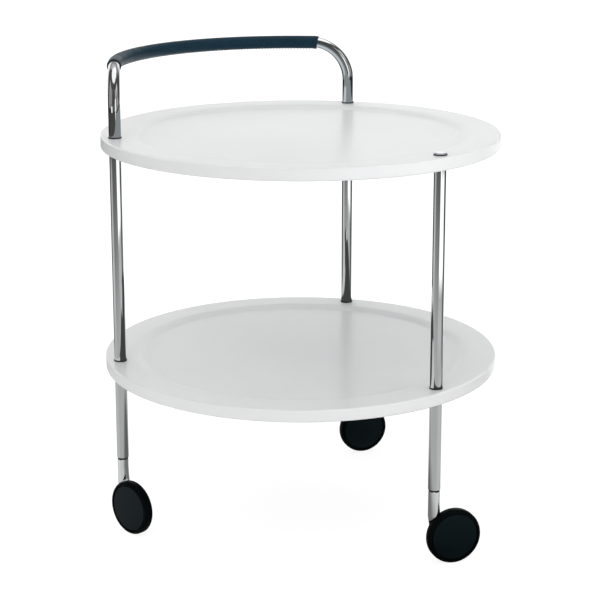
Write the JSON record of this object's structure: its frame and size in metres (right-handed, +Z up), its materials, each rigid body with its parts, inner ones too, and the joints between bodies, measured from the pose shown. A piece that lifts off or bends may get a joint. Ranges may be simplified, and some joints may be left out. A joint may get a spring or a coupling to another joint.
{
  "type": "serving trolley",
  "caption": "Round two-tier serving trolley with white recessed trays, chrome tube legs, a curved leather-covered handle bar and swivel castors with plain black wheels.",
  "frame": {"origin": "on the floor, straight under the common axis of the two trays", "axes": "+Z up along the tray axis; the handle bar runs round the +Y side and the single front leg stands at -Y"},
  "size_m": [0.5038, 0.52, 0.5992],
  "materials": {
    "white_lacquer": "white satin lacquer over fibreboard",
    "chrome_tube": "polished chrome",
    "chrome_castor": "chrome, a little softer than the tubes",
    "black_leather": "fine grained black leather, sewn",
    "black_washer": "matte black",
    "zinc_steel": "zinc plated",
    "socket_plastic": "moulded nylon",
    "bronze_bush": "sintered bronze",
    "wheel_plastic": "satin black moulding",
    "wheel_tyre": "smooth soft black tread"
  },
  "bodies": {
    "frame": {"castor_sockets": "socket_plastic", "castor_thrust_rings": "black_washer", "front_leg_cap": "chrome_tube", "handle_foot_inserts": "zinc_steel", "handle_grip": "black_leather", "handle_tube": "chrome_tube", "leg_tube_lower_front": "chrome_tube", "leg_tube_lower_left": "chrome_tube", "leg_tube_lower_right": "chrome_tube", "leg_tube_upper_front": "chrome_tube", "leg_tube_upper_left": "chrome_tube", "leg_tube_upper_right": "chrome_tube", "lower_tray": "white_lacquer", "lower_tray_studs": "zinc_steel", "lower_tray_top_washers": "black_washer", "lower_tray_under_washers": "black_washer", "lower_tube_top_inserts": "zinc_steel", "upper_tray": "white_lacquer", "upper_tray_studs": "zinc_steel", "upper_tray_top_washers": "black_washer", "upper_tray_under_washers": "black_washer", "upper_tube_bottom_inserts": "zinc_steel", "upper_tube_top_inserts": "zinc_steel"},
    "front_castor_fork": {"castor_front_arm": "chrome_castor", "castor_front_swivel_pin": "zinc_steel", "castor_front_clip_ring": "zinc_steel", "castor_front_axle_screw": "zinc_steel"},
    "front_castor_wheel": {"castor_front_wheel_core": "wheel_plastic", "castor_front_face_cover": "wheel_plastic", "castor_front_tyre": "wheel_tyre", "castor_front_bush": "bronze_bush"},
    "left_castor_fork": {"castor_left_arm": "chrome_castor", "castor_left_swivel_pin": "zinc_steel", "castor_left_clip_ring": "zinc_steel", "castor_left_axle_screw": "zinc_steel"},
    "left_castor_wheel": {"castor_left_wheel_core": "wheel_plastic", "castor_left_face_cover": "wheel_plastic", "castor_left_tyre": "wheel_tyre", "castor_left_bush": "bronze_bush"},
    "right_castor_fork": {"castor_right_arm": "chrome_castor", "castor_right_swivel_pin": "zinc_steel", "castor_right_clip_ring": "zinc_steel", "castor_right_axle_screw": "zinc_steel"},
    "right_castor_wheel": {"castor_right_wheel_core": "wheel_plastic", "castor_right_face_cover": "wheel_plastic", "castor_right_tyre": "wheel_tyre", "castor_right_bush": "bronze_bush"}
  },
  "joints": [
    {"name": "front_castor_swivel", "type": "hinge", "parent": "frame", "child": "front_castor_fork", "pos_m": [0, -0.234, 0.0928], "axis": [0, 0, 1], "continuous": true},
    {"name": "front_wheel_roll", "type": "hinge", "parent": "front_castor_fork", "child": "front_castor_wheel", "pos_m": [0.02112, -0.2443, 0.0345], "axis": [0.4384, 0.8988, 0], "continuous": true},
    {"name": "left_castor_swivel", "type": "hinge", "parent": "frame", "child": "left_castor_fork", "pos_m": [-0.20265, 0.117, 0.0928], "axis": [0, 0, 1], "continuous": true},
    {"name": "left_wheel_roll", "type": "hinge", "parent": "left_castor_fork", "child": "left_castor_wheel", "pos_m": [-0.20171, 0.09352, 0.0345], "axis": [0.9992, 0.0401, 0], "continuous": true},
    {"name": "right_castor_swivel", "type": "hinge", "parent": "frame", "child": "right_castor_fork", "pos_m": [0.20265, 0.117, 0.0928], "axis": [0, 0, 1], "continuous": true},
    {"name": "right_wheel_roll", "type": "hinge", "parent": "right_castor_fork", "child": "right_castor_wheel", "pos_m": [0.22398, 0.10714, 0.0345], "axis": [0.4195, 0.9078, 0], "continuous": true}
  ]
}
